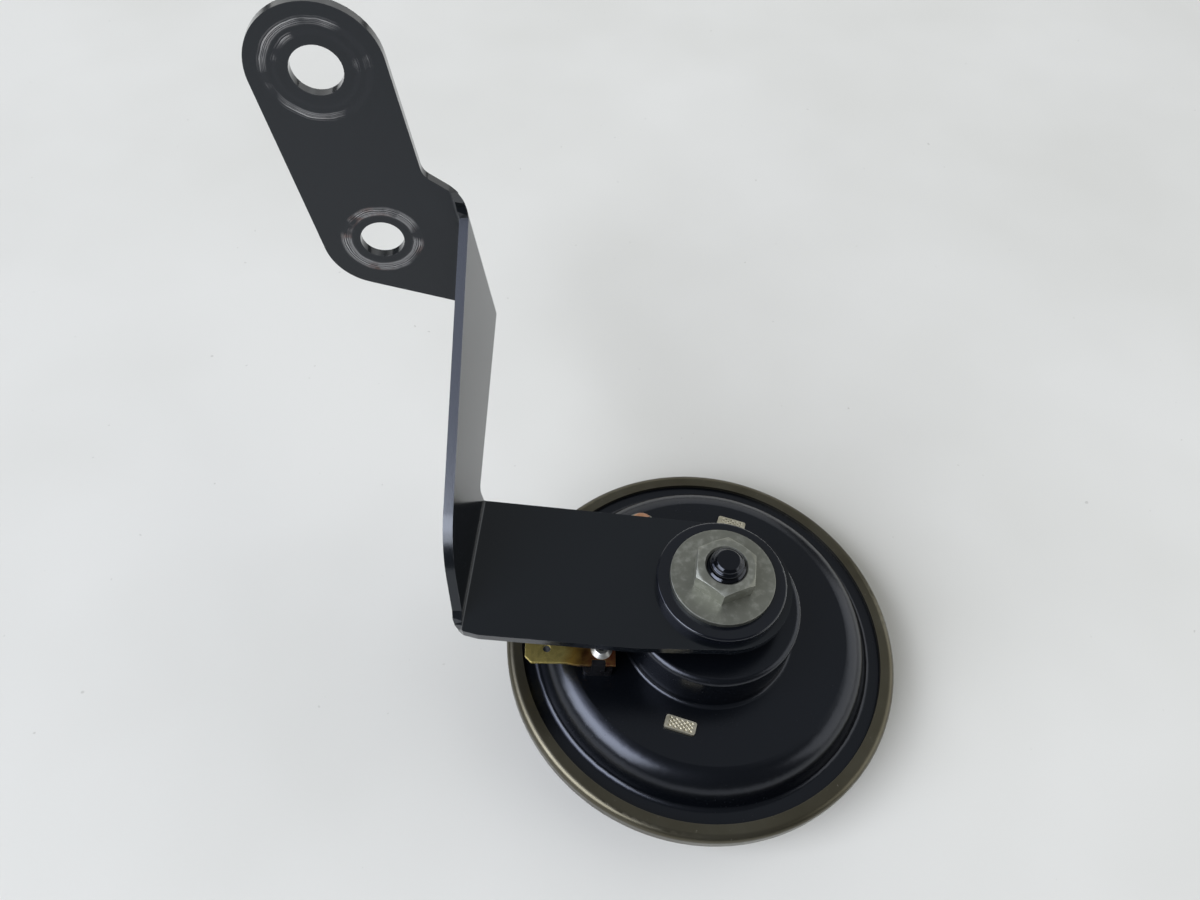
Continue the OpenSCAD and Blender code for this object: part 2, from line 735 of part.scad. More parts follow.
// Tubular rivet from its rolled end at z up to its head
module rivet(z) {
    end_h = 0.8;
    difference() {
        union() {
            translate([0, 0, z - end_h]) cylinder(r = rivet_d / 2, h = z_rivet_head + end_h - z + e);
            translate([0, 0, z - end_h]) cylinder(r = rivet_d / 2 + 1, h = end_h);
            translate([0, 0, z_rivet_head])
                cylinder(d1 = rivet_head_d, d2 = rivet_head_d - 1.8, h = rivet_head_h);
        }
        translate([0, 0, z - end_h - e])
            cylinder(d = rivet_bore_d, h = z_rivet_head + rivet_head_h + end_h - z + 1);
    }
}

module terminal_rivets() {
    color("#b4b5b2") {
        translate([terminal_at.x, terminal_at.y, 0]) rivet(z_strip);
        translate([hidden_terminal.x, hidden_terminal.y, 0]) rivet(z_clamp_plate);
    }
}

module inner_bushes() {
    color("#17171a") translate([terminal_at.x, terminal_at.y, z_roof - bush_h])
        ring(bush_r, rivet_d / 2 + rivet_gap, bush_h);
}

module contact_spacer() {
    color("#a58a4c") translate([terminal_at.x, terminal_at.y, z_strip_top])
        ring(spacer_r, rivet_d / 2 + rivet_gap, z_roof - bush_h - z_strip_top);
}

module fixed_contact_spring() {
    color("#b08d57") breaker_frame() difference() {
        translate([strip_at - strip_w / 2, adjuster.y - strip_over, z_strip])
            cube([strip_w, anchor.y - adjuster.y + 2 * strip_over, strip_spring_t]);
        translate([anchor.x, anchor.y, z_strip - e])
            cylinder(r = rivet_d / 2 + rivet_gap, h = strip_spring_t + 2 * e);
    }
}

module fixed_contact_bar() {
    color("#9a9a94") breaker_frame() translate([strip_at - strip_w / 2, adjuster.y - strip_over, z_bar])
        cube([strip_w, bar_start - adjuster.y + strip_over, strip_t]);
}

module fixed_contact_point() {
    color("#c8c9cb") breaker_frame() translate([strip_at, 0, z_strip_top])
        cylinder(d = point_d, h = point_h, $fn = 48);
}

module breaker_insulators() {
    top = z_breaker + breaker_spring_t;
    hole_r = rivet_d / 2 + rivet_gap;
    color("#5d3a24") breaker_frame() {
        stack_block(top, z_roof - top, hole_r);
        stack_block(z_stack_low, stack_low_t, hole_r);
    }
}

module breaker_clamp() {
    color("#a58a4c") breaker_frame() {
        stack_block(z_clamp_plate, clamp_plate_t, rivet_d / 2 + rivet_gap);
        translate([stack_mid - 1.5, -stack_w / 2 - stack_ear, z_clamp_plate])
            cube([3, stack_ear + e, clamp_plate_t]);
    }
}

module breaker_spring() {
    color("#b08d57") breaker_frame() difference() {
        translate([0, 0, z_breaker]) union() {
            translate([breaker_tip, -breaker_w / 2, 0])
                cube([stack_in - breaker_tip + e, breaker_w, breaker_spring_t]);
            translate([stack_in, -stack_w / 2, 0]) cube([stack_l, stack_w, breaker_spring_t]);
            translate([stack_mid - 1.5, stack_w / 2 - e, 0]) cube([3, stack_ear, breaker_spring_t]);
        }
        translate([stack_mid, 0, z_breaker - e]) cylinder(r = rivet_d / 2 + 1, h = breaker_spring_t + 1);
    }
}

module breaker_arm() {
    color("#9a9a94") breaker_frame()
        translate([breaker_tip, -breaker_w / 2, z_breaker + breaker_spring_t])
        cube([stack_in - 0.4 - breaker_tip, breaker_w, breaker_arm_t]);
}

module moving_contact_point() {
    color("#c8c9cb") breaker_frame() translate([strip_at, 0, z_breaker - point_h])
        cylinder(d = point_d, h = point_h, $fn = 48);
}

module adjuster_bush() {
    color("#8d8f8c") translate([adjuster_at.x, adjuster_at.y, 0]) difference() {
        union() {
            translate([0, 0, z_face]) cylinder(r = bush_body_r + 1, h = bush_flange_t);
            translate([0, 0, z_roof - 3]) cylinder(r = bush_body_r, h = shell_t + 3 + e);
        }
        translate([0, 0, z_roof - 4]) cylinder(r = adjuster_d / 2 + thread_gap, h = shell_t + 6);
    }
}

module adjusting_screw() {
    slot = 0.9;
    color("#b87a4a") translate([adjuster_at.x, adjuster_at.y, 0]) difference() {
        union() {
            translate([0, 0, z_screw_tip]) cylinder(d = adjuster_d, h = z_screw_head - z_screw_tip + e);
            translate([0, 0, z_screw_head]) cylinder(d = adjuster_head_d, h = adjuster_head_h - 0.3);
            translate([0, 0, z_screw_head + adjuster_head_h - 0.3 - e])
                cylinder(d1 = adjuster_head_d, d2 = adjuster_head_d - 0.6, h = 0.3 + e);
        }
        rotate([0, 0, 35]) translate([-adjuster_head_d, -slot / 2, z_screw_head + adjuster_head_h - 1])
            cube([2 * adjuster_head_d, slot, 2]);
    }
}

module adjuster_tip() {
    color("#7b3f22") translate([adjuster_at.x, adjuster_at.y, z_strip_top + touch_gap])
        cylinder(d = adjuster_d - 1, h = adjuster_tip_h);
}

module mounting_stud() {
    color("#121317") {
        translate([0, 0, z_stud]) cylinder(d = stud_d, h = z_stud_tip - stud_chamfer - z_stud);
        translate([0, 0, z_stud_tip - stud_chamfer - e])
            cylinder(d1 = stud_d, d2 = stud_d - 2 * stud_chamfer, h = stud_chamfer + e);
    }
}

module core_nut() {
    color("#8d8f8c") translate([0, 0, z_boss]) hex_nut(core_nut_af, core_nut_h, stud_d / 2 + thread_gap);
}

module lower_disc() {
    color("#17181c") translate([0, 0, z_lower_disc])
        ring(disc_d / 2, stud_d / 2 + rivet_gap, lower_disc_t);
}

module upper_disc() {
    edge = 0.5;
    bore = stud_d / 2 + rivet_gap;
    w = disc_d / 2 - bore;
    color("#17181c") translate([0, 0, z_arm_top]) rotate_extrude() translate([bore, 0]) {
        square([w, upper_disc_t - edge]);
        square([w - edge, upper_disc_t]);
        translate([w - edge, upper_disc_t - edge]) circle(edge);
    }
}

module plain_washer() {
    color("#9a9c90") translate([0, 0, z_washer]) ring(washer_d / 2, stud_d / 2 + rivet_gap, washer_t);
}

module mounting_nut() {
    sink = 0.4;
    color("#a0a297") translate([0, 0, z_nut]) rotate([0, 0, 27]) difference() {
        hex_nut(nut_af, nut_h, stud_d / 2 + thread_gap);
        translate([0, 0, nut_h - sink])
            cylinder(r1 = stud_d / 2 + thread_gap, r2 = stud_d / 2 + thread_gap + sink, h = sink + e);
    }
}

// Flat arm with its round end under the disc
module bracket_arm() {
    start = arm_bend - arm_reach - e;
    translate([0, 0, z_arm]) linear_extrude(plate_t) {
        translate([arm_end_over, 0]) circle(arm_end_r);
        polygon(outline([[arm_end_over, arm_far, 0], [start, arm_far, 0], [start, -bend_near, 0],
            [start + 3, -arm_near, 4], [-17, -arm_near_end, 12], [arm_end_over, -arm_end_r, 0]]));
    }
}

// Outline of the web: first axis along it, second up it
module web_outline() {
    end = corner_at - flange_bend + e;
    start = low_at_bend - (end - web_far) * tan(web_low_rise);
    crest = meet([end, top_at_bend], web_top_rise, [-web_near, waist], [cos(64), sin(64)]);
    polygon(outline([[-web_foot, arm_bend - e, 0], [-web_near, waist, 2], [crest.x, crest.y, 20],
        [end, top_at_bend, 0], [end, low_at_bend, 0], [web_far, start, 2], [web_far, arm_bend - e, 0]]));
}

// Flat flange with the two mounting holes: first axis away from the bend, second up
module flange_outline() {
    low = [flange_bend - e, low_at_bend + low_climb];
    high = [flange_bend - e, top_at_bend + top_climb];
    way = hole_low - low;
    turn = atan2(way.y, way.x) - asin(edge_r / norm(way));
    heel = low + sqrt(way * way - edge_r * edge_r) * [cos(turn), sin(turn)];
    side = hole_out - edge_r;
    notch = high + (side - high.x) * [1, tan(notch_rise)];
    polygon(outline([[low.x, low.y, 0], [heel.x, heel.y, 0], [hole_out + edge_r, hole_low.y, 0],
        [hole_out + edge_r, hole_top.y, 0], [side, hole_top.y, 0], [side, notch.y, 4],
        [high.x, high.y, 0]]));
    translate(hole_low) circle(edge_r);
    translate(hole_top) circle(edge_r);
}

// The web's plane, with its face towards the horn at zero
module web_frame() {
    translate([-arm_reach, 0, z_arm_top]) rotate([0, -web_lean, 0]) rotate([90, 0, 90]) children();
}

// The flange's plane, with its outer face at zero
module flange_frame() {
    translate([corner_at, 0, 0]) rotate([0, flange_turn, 0]) children();
}

// Sheet bent round the Z axis, whose ends go from one pair of heights to the other
module bend(sweep, from, to) {
    slices = 3;
    spare = 0.6;
    low = min(from[0], to[0]) - 1;
    high = max(from[1], to[1]) + 1;
    intersection() {
        rotate_extrude(angle = sweep) translate([bend_r, low]) square([plate_t, high - low]);
        for (i = [0:slices - 1]) hull() for (k = [i, i + 1]) {
            z = from + (to - from) * k / slices;
            rotate([0, 0, sweep * k / slices]) translate([bend_r - spare, -e / 2, z[0]])
                cube([plate_t + 2 * spare, e, z[1] - z[0]]);
        }
    }
}

module bracket() {
    color("#191a1e") difference() {
        union() {
            bracket_arm();
            translate([arm_bend - arm_reach, 0, z_arm_top + bend_r]) rotate([90, 0, 0])
                rotate([0, 0, 180 + web_lean]) bend(web_angle, [-web_far, web_foot], [-arm_far, bend_near]);
            web_frame() {
                translate([0, 0, -plate_t]) linear_extrude(plate_t) web_outline();
                translate([corner_at - flange_bend, 0, -bend_out]) rotate([90, 0, 0])
                    rotate([0, 0, 90 - flange_turn]) bend(flange_turn,
                        [-top_at_bend - top_climb, -low_at_bend - low_climb], [-top_at_bend, -low_at_bend]);
                flange_frame() translate([0, 0, -plate_t]) linear_extrude(plate_t) flange_outline();
            }
        }
        translate([0, 0, z_arm - 1]) cylinder(r = stud_d / 2 + swivel_gap, h = plate_t + 2);
        web_frame() flange_frame() for (h = [[hole_low, hole_low_d], [hole_top, hole_top_d]])
            translate([h[0].x, h[0].y, -plate_t - 1]) cylinder(d = h[1], h = plate_t + 2);
    }
}

housing();
rim_ring();
front_cover();
front_gasket();
rear_gasket();
diaphragm();
tone_disc();
tone_disc_nut();
tone_disc_washer();
diaphragm_nut();
diaphragm_washer();
armature();
push_pad();
pole_bridge();
pole_core();
coil_bobbin();
coil_winding();
coil_leads();
terminal_insulators();
terminal_boards();
spade_terminals();
terminal_rivets();
inner_bushes();
contact_spacer();
fixed_contact_spring();
fixed_contact_bar();
fixed_contact_point();
breaker_insulators();
breaker_clamp();
breaker_spring();
breaker_arm();
moving_contact_point();
adjuster_bush();
adjusting_screw();
adjuster_tip();
mounting_stud();
core_nut();
lower_disc();
bracket();
upper_disc();
plain_washer();
mounting_nut();
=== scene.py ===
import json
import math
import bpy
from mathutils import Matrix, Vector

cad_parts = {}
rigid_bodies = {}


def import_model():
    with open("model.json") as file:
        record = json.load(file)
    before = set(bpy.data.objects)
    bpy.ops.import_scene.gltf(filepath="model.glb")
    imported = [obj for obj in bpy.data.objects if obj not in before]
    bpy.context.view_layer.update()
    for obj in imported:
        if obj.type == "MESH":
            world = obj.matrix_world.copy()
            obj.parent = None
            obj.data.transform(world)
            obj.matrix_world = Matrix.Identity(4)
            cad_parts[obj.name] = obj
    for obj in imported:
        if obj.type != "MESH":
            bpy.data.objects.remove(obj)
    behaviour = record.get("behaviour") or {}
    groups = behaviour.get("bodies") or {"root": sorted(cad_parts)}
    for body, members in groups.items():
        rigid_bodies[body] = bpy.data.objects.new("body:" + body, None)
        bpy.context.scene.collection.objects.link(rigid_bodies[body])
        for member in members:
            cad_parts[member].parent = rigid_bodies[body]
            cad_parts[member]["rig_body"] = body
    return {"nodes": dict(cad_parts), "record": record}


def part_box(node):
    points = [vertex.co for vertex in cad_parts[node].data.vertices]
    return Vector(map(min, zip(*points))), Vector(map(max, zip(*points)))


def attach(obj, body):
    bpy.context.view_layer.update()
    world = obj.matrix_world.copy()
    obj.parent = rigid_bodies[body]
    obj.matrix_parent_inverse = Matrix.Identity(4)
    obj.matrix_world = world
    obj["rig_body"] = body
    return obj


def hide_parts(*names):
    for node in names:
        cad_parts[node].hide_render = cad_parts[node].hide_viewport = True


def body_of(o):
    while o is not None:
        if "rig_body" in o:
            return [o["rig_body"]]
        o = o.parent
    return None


bl_info = {
    "name": "Motorcycle disc horn",
    "version": (1, 0, 0),
    "blender": (4, 5, 0),
    "location": "3D View > Sidebar > Horn",
    "description": "Finishes a disc horn and its bracket and sets them on a pale table",
    "category": "Add Mesh",
}

import bmesh
import bpy
from bpy.props import FloatProperty, FloatVectorProperty, PointerProperty
from mathutils import Vector

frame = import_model()

MM = 0.001

# Settings of the nodes that the finishes use most
TIMES = {"operation": "MULTIPLY"}
TIMES_UP_TO_ONE = {"operation": "MULTIPLY", "use_clamp": True}
PLUS = {"operation": "ADD"}
LESS = {"operation": "SUBTRACT"}
DIVIDED = {"operation": "DIVIDE"}
LARGER = {"operation": "MAXIMUM"}
SMALLER = {"operation": "MINIMUM"}
REACH = {"operation": "DISTANCE"}
COLOURS = {"data_type": "RGBA"}
ONE_WAY = {"noise_dimensions": "1D"}

# Merges only points of a CAD copy that are the same point
SAME_POINT = 0.001 * MM
# Faces that meet at less than this share a normal
SMOOTH = math.radians(40)
# Edges sharper than this are rounded
SHARP = math.radians(32)


def bottom_of(node):
    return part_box(node)[0].z


def top_of(node):
    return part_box(node)[1].z


def mount(name):
    """Where one of the record's mounts is, in metres."""
    return next(Vector(m["pos_m"]) for m in frame["record"]["mounts"] if m["name"] == name)


def linear(colour):
    """An sRGB hex colour as the linear RGBA that sockets take."""
    part = [int(colour.lstrip("#")[i:i + 2], 16) / 255 for i in (0, 2, 4)]
    return tuple(c / 12.92 if c <= 0.04045 else ((c + 0.055) / 1.055) ** 2.4 for c in part) + (1,)


class FinishSizes(bpy.types.PropertyGroup):
    stud_pitch: FloatProperty(
        name="Stud pitch", description="Pitch of the stud's thread",
        unit="LENGTH", default=1.25 * MM, min=0.5 * MM, max=2 * MM)
    thread_depth: FloatProperty(
        name="Thread depth", description="Depth of the painted-over thread",
        unit="LENGTH", default=0.45 * MM, min=0.1 * MM, max=0.8 * MM)
    edge_round: FloatProperty(
        name="Edge rounding", description="Rounding of the strip's stamped edges",
        unit="LENGTH", default=0.2 * MM, min=0.05 * MM, max=0.5 * MM)
    shell: FloatProperty(
        name="Shell", description="Thickness of the housing's sheet",
        unit="LENGTH", default=1 * MM, min=0.8 * MM, max=1.2 * MM)
    drum_height: FloatProperty(
        name="Drum height", description="Height of the drum's face over the flange",
        unit="LENGTH", default=7.8 * MM, min=7 * MM, max=10 * MM)
    face_edge: FloatProperty(
        name="Face edge", description="Radius where the drum's flat face ends",
        unit="LENGTH", default=31.5 * MM, min=28 * MM, max=34 * MM)
    foot_edge: FloatProperty(
        name="Foot edge", description="Radius where the drum's foot runs into the flange",
        unit="LENGTH", default=39.7 * MM, min=36 * MM, max=40 * MM)
    shoulder: FloatProperty(
        name="Shoulder", description="Rounding of the drum's shoulder",
        unit="LENGTH", default=6 * MM, min=1 * MM, max=7 * MM)
    foot: FloatProperty(
        name="Foot", description="Rounding of the drum's foot",
        unit="LENGTH", default=1.5 * MM, min=0.5 * MM, max=3 * MM)
    slope: FloatProperty(
        name="Wall slope", description="Slope of the drum's drawn wall",
        subtype="ANGLE", default=math.radians(68), min=math.radians(45), max=math.radians(85))
    wire_d: FloatProperty(
        name="Coil wire", description="Diameter of the coil's enamelled wire",
        unit="LENGTH", default=0.8 * MM, min=0.3 * MM, max=1.5 * MM)


class FinishColours(bpy.types.PropertyGroup):
    enamel: FloatVectorProperty(
        name="Housing enamel", description="Gloss black of the housing and the front cover",
        subtype="COLOR", size=4, default=linear("#05070B"), min=0, max=1)
    bracket_paint: FloatVectorProperty(
        name="Bracket paint", description="Satin black of the bracket",
        subtype="COLOR", size=4, default=linear("#0B0E12"), min=0, max=1)
    plating: FloatVectorProperty(
        name="Tarnished ring", description="Brown olive of the ring's old plating",
        subtype="COLOR", size=4, default=linear("#575346"), min=0, max=1)
    zinc: FloatVectorProperty(
        name="Zinc", description="Grey of the small nuts and washers",
        subtype="COLOR", size=4, default=linear("#96978D"), min=0, max=1)
    table: FloatVectorProperty(
        name="Table", description="Off-white of the table top",
        subtype="COLOR", size=4, default=linear("#E6E5E1"), min=0, max=1)


def sizes():
    return bpy.context.scene.horn_sizes


def colour_of(name):
    return tuple(getattr(bpy.context.scene.horn_colours, name))


def fill(tree, node, **sockets):
    """Links a node's sockets, or sets them by value or hex; _6 is the socket of that number."""
    for name, value in sockets.items():
        socket = node.inputs[int(name[1:])] if name[1:].isdigit() else node.inputs[name.replace("_", " ")]
        if isinstance(value, bpy.types.NodeSocket):
            tree.links.new(value, socket)
        else:
            socket.default_value = linear(value) if isinstance(value, str) else value


def add(tree, kind, settings=None, out=0, stops=(), **sockets):
    """Adds a node with its settings, its ramp's stops and its links, and gives one of its outputs back."""
    node = tree.nodes.new("ShaderNode" + kind)
    for name, value in (settings or {}).items():
        setattr(node, name, value)
    if stops:
        elements = node.color_ramp.elements
        while len(elements) < len(stops):
            elements.new(0.5)
        for element, (position, tone) in zip(elements, stops):
            element.position = position
            if isinstance(tone, str):
                element.color = linear(tone)
            else:
                element.color = (tone, tone, tone, 1) if isinstance(tone, (int, float)) else tone
    fill(tree, node, **sockets)
    return node.outputs[out]


def blank(name):
    """A material with its tree, its shader and the object's own coordinates in metres."""
    material = bpy.data.materials.new(name)
    material.use_nodes = True
    tree = material.node_tree
    place = add(tree, "TexCoord", out="Object")
    return material, tree, tree.nodes["Principled BSDF"], place


def per_mm(length):
    """Texture scale that makes one feature about this many millimetres."""
    return 1 / (length * MM)


def worn_and_lit_edges(tree, radius, sharp):
    """One on sharp edges, where wear and painted highlights go, and nought on flat faces, from how the surface
    turns within a radius in millimetres.
    """
    turned = add(tree, "Bevel", {"samples": 6}, Radius=radius * MM)
    true = add(tree, "NewGeometry", out="Normal")
    same = add(tree, "VectorMath", {"operation": "DOT_PRODUCT"}, "Value", _0=turned, _1=true)
    return add(tree, "Math", TIMES_UP_TO_ONE, _0=add(tree, "Math", LESS, _0=1.0, _1=same), _1=sharp)


# Deep gloss black enamel over a drawn pressing: a soft orange peel, a cool sheen, fine dust in cloudy patches.
# The grain is drawn coarser than real, so that it shows
def gloss_enamel(name, colour, dust=0.4, rough=0.25):
    material, tree, shader, place = blank(name)
    grain = add(tree, "TexNoise", Vector=place, Scale=per_mm(0.35), Detail=4, Roughness=0.55)
    cloud = add(tree, "TexNoise", Vector=place, Scale=per_mm(16), Detail=4, Roughness=0.55)
    specks = add(tree, "TexNoise", Vector=place, Scale=per_mm(0.9), Detail=2, Roughness=0.7)
    specks = add(tree, "ValToRGB", stops=((0.66, 0.0), (0.78, 1.0)), Fac=specks)
    corners = add(tree, "ValToRGB", stops=((0.5, 0.0), (0.72, dust)), Fac=cloud)
    dusty = add(tree, "Math", TIMES, _0=specks, _1=corners)
    clouded = add(tree, "Math", TIMES, _0=cloud, _1=0.08)
    clouded = add(tree, "Math", PLUS, _0=clouded, _1=rough - 0.04)
    dulled = add(tree, "Math", TIMES, _0=dusty, _1=0.3)
    peel = add(tree, "TexNoise", Vector=place, Scale=per_mm(2.6), Detail=2, Roughness=0.55)
    peel = add(tree, "Math", TIMES, _0=peel, _1=0.7)
    peel = add(tree, "Math", PLUS, _0=peel, _1=grain)
    fill(tree, shader,
         Base_Color=add(tree, "Mix", COLOURS, 2, _0=dusty, _6=colour, _7="#34363A"),
         Roughness=add(tree, "Math", PLUS, _0=clouded, _1=dulled),
         IOR=1.5, Specular_Tint="#E6ECFC",
         Normal=add(tree, "Bump", Height=peel, Distance=0.008 * MM, Strength=1))
    return material


# Satin stoving paint on bent strip steel: a faint drag along the strip, thin pale lines on its
# edges that are bare steel in chips and elsewhere a painted highlight, and the scratched rings that bolt heads
# leave. A mark has its centre, its inner and outer radius and the size of its patches in millimetres, and how much
# of it is left and how much is rusty
def stoved_paint(name, colour, marks=()):
    material, tree, shader, place = blank(name)
    cloud = add(tree, "TexNoise", Vector=place, Scale=per_mm(30), Detail=3, Roughness=0.55)
    grain = add(tree, "TexNoise", Vector=place, Scale=per_mm(0.4), Detail=3, Roughness=0.55)
    drag = add(tree, "Mapping", Vector=place, Scale=(1.6, 1.6, 0.12))
    drag = add(tree, "TexNoise", Vector=drag, Scale=per_mm(0.9), Detail=4, Roughness=0.6)
    chips = add(tree, "TexNoise", Vector=place, Scale=per_mm(3.6), Detail=4, Roughness=0.6)
    chips = add(tree, "ValToRGB", stops=((0.55, 0.0), (0.66, 1.0)), Fac=chips)
    # Edges turn pale grey and half metallic: bare steel where the chips are, and a painted highlight all along them
    bare_and_lit_edges = add(tree, "Math", TIMES_UP_TO_ONE, _0=worn_and_lit_edges(tree, 0.3, 2.0),
               _1=add(tree, "Math", PLUS, _0=chips, _1=0.12))
    faded = add(tree, "ValToRGB", stops=((0.35, 0.0), (0.7, 0.35)), Fac=cloud)
    tone = add(tree, "Mix", COLOURS, 2, _0=faded, _6=colour, _7="#101317")
    tone = add(tree, "Mix", COLOURS, 2, _0=add(tree, "Math", TIMES, _0=bare_and_lit_edges, _1=0.6), _6=tone, _7="#77797A")
    rough = add(tree, "Math", PLUS, _0=add(tree, "Math", TIMES, _0=drag, _1=0.08), _1=0.13)
    metal = add(tree, "Math", TIMES, _0=bare_and_lit_edges, _1=0.5)
    relief = add(tree, "Math", PLUS, _0=add(tree, "Math", TIMES, _0=drag, _1=0.5), _1=grain)
    for mark in marks:
        start, end, left = mark["start"], mark["end"], mark["left"]
        # Distance from the hole in millimetres, a little uneven
        gap = add(tree, "VectorMath", REACH, "Value", _0=place, _1=tuple(mark["centre"]))
        gap = add(tree, "Math", TIMES, _0=gap, _1=1 / MM)
        uneven = add(tree, "TexNoise", Vector=place, Scale=per_mm(3.5), Detail=2, Roughness=0.55)
        uneven = add(tree, "Math", LESS, _0=uneven, _1=0.5)
        gap = add(tree, "Math", PLUS, _0=gap, _1=add(tree, "Math", TIMES, _0=uneven, _1=0.5))
        streaks = add(tree, "TexNoise", ONE_WAY, W=gap, Scale=4.5, Detail=4, Roughness=0.7)
        streaks = add(tree, "ValToRGB", stops=((0.44, 0.0), (0.58, 1.0)), Fac=streaks)
        span = end + 1
        band = add(tree, "ValToRGB", Fac=add(tree, "Math", DIVIDED, _0=gap, _1=span),
                   stops=(((start - 0.4) / span, 0.0), ((start + 0.2) / span, 1.0),
                          ((end - 0.2) / span, 1.0), ((end + 0.3) / span, 0.0)))
        patches = add(tree, "TexNoise", Vector=place, Scale=per_mm(mark["patch"]), Detail=3, Roughness=0.5)
        patches = add(tree, "ValToRGB", stops=((left - 0.06, 1.0), (left + 0.06, 0.0)), Fac=patches)
        scratched = add(tree, "Math", TIMES_UP_TO_ONE, _0=add(tree, "Math", TIMES, _0=band, _1=patches), _1=streaks)
        stain = add(tree, "TexNoise", Vector=place, Scale=per_mm(5.5), Detail=3, Roughness=0.6)
        stain = add(tree, "ValToRGB", stops=((0.5, 0.0), (0.62, mark["rust"])), Fac=stain)
        steel = add(tree, "Mix", COLOURS, 2, _0=stain, _6="#A9A8A8", _7="#6E4536")
        rubbed = add(tree, "Math", TIMES, _0=band, _1=0.5)
        tone = add(tree, "Mix", COLOURS, 2, _0=rubbed, _6=tone, _7="#1B1C20")
        tone = add(tree, "Mix", COLOURS, 2, _0=scratched, _6=tone, _7=steel)
        metal = add(tree, "Math", LARGER, _0=metal, _1=add(tree, "Math", TIMES, _0=scratched, _1=0.4))
        rough = add(tree, "Math", PLUS, _0=rough, _1=add(tree, "Math", TIMES, _0=scratched, _1=0.2))
        relief = add(tree, "Math", LESS, _0=relief, _1=add(tree, "Math", TIMES, _0=scratched, _1=1.5))
    # A film of low index, as of wax, gives the pale look along the upright web and hardly any straight on
    fill(tree, shader, Base_Color=tone, Roughness=rough, Metallic=metal, IOR=1.47, Specular_Tint="#EAF0FA",
         Coat_Weight=1, Coat_IOR=1.2, Coat_Roughness=0.12,
         Normal=add(tree, "Bump", Height=relief, Distance=0.01 * MM, Strength=0.7))
    return material


# Brown lacquered plating on the crimped ring: even satin olive with fine specks and a paler outer edge, partly
# rubbed and partly a painted highlight
def tarnished_plating(name, colour):
    material, tree, shader, place = blank(name)
    mottle = add(tree, "TexNoise", Vector=place, Scale=per_mm(14), Detail=4, Roughness=0.5)
    fine = add(tree, "TexNoise", Vector=place, Scale=per_mm(0.45), Detail=4, Roughness=0.55)
    spots = add(tree, "TexNoise", Vector=place, Scale=per_mm(1.1), Detail=3, Roughness=0.7)
    spots = add(tree, "ValToRGB", stops=((0.68, 0.0), (0.76, 1.0)), Fac=spots)
    tone = add(tree, "ValToRGB", stops=((0.35, "#4F4B3E"), (0.5, colour), (0.7, "#5F5C50")), Fac=mottle)
    tone = add(tree, "Mix", COLOURS, 2, _0=add(tree, "Math", TIMES, _0=spots, _1=0.45), _6=tone, _7="#A8A294")
    # The paler edge colour #8E8A7E is partly wear and partly a painted highlight on the ring's rounding
    rubbed = add(tree, "Math", TIMES, _0=worn_and_lit_edges(tree, 0.35, 1.4), _1=0.3)
    fill(tree, shader,
         Base_Color=add(tree, "Mix", COLOURS, 2, _0=rubbed, _6=tone, _7="#8E8A7E"),
         Metallic=0.85,
         Roughness=add(tree, "ValToRGB", stops=((0.3, 0.34), (0.7, 0.27)), Fac=mottle),
         Normal=add(tree, "Bump", Height=fine, Distance=0.01 * MM, Strength=0.6))
    return material


# Dull zinc or bare steel: a close grey bloom, edges painted paler as wear and as a painted highlight, and fine
# lines that are turned round a centre or drawn along the piece
def stamped_metal(name, colour, light, dark, rough=0.42, centre=None):
    material, tree, shader, place = blank(name)
    cloud = add(tree, "TexNoise", Vector=place, Scale=per_mm(1.6), Detail=5, Roughness=0.62)
    fine = add(tree, "TexNoise", Vector=place, Scale=per_mm(0.28), Detail=3, Roughness=0.55)
    if centre:
        reach = add(tree, "VectorMath", REACH, "Value", _0=place, _1=centre)
        reach = add(tree, "Math", TIMES, _0=reach, _1=1 / MM)
        lines = add(tree, "TexNoise", ONE_WAY, W=reach, Scale=6, Detail=3, Roughness=0.7)
    else:
        drawn = add(tree, "Mapping", Vector=place, Scale=(1, 14, 14))
        lines = add(tree, "TexNoise", Vector=drawn, Scale=per_mm(9), Detail=3, Roughness=0.7)
    tone = add(tree, "ValToRGB", stops=((0.3, dark), (0.5, colour), (0.75, light)), Fac=cloud)
    tone = add(tree, "Mix", COLOURS, 2, _0=0.65, _6=tone, _7=colour)
    # Edges painted in the light tone: partly wear, partly a painted highlight on the edges
    edge_wear_and_highlight = add(tree, "Math", TIMES, _0=worn_and_lit_edges(tree, 0.25, 2.4), _1=0.7)
    level = add(tree, "Math", PLUS, _0=add(tree, "Math", TIMES, _0=cloud, _1=0.14), _1=rough - 0.07)
    relief = add(tree, "Math", PLUS, _0=fine, _1=add(tree, "Math", TIMES, _0=lines, _1=0.4))
    fill(tree, shader,
         Base_Color=add(tree, "Mix", COLOURS, 2, _0=edge_wear_and_highlight, _6=tone, _7=light),
         Metallic=1,
         Roughness=add(tree, "Math", PLUS, _0=level, _1=add(tree, "Math", TIMES, _0=lines, _1=0.06)),
         Normal=add(tree, "Bump", Height=relief, Distance=0.008 * MM, Strength=0.6))
    return material


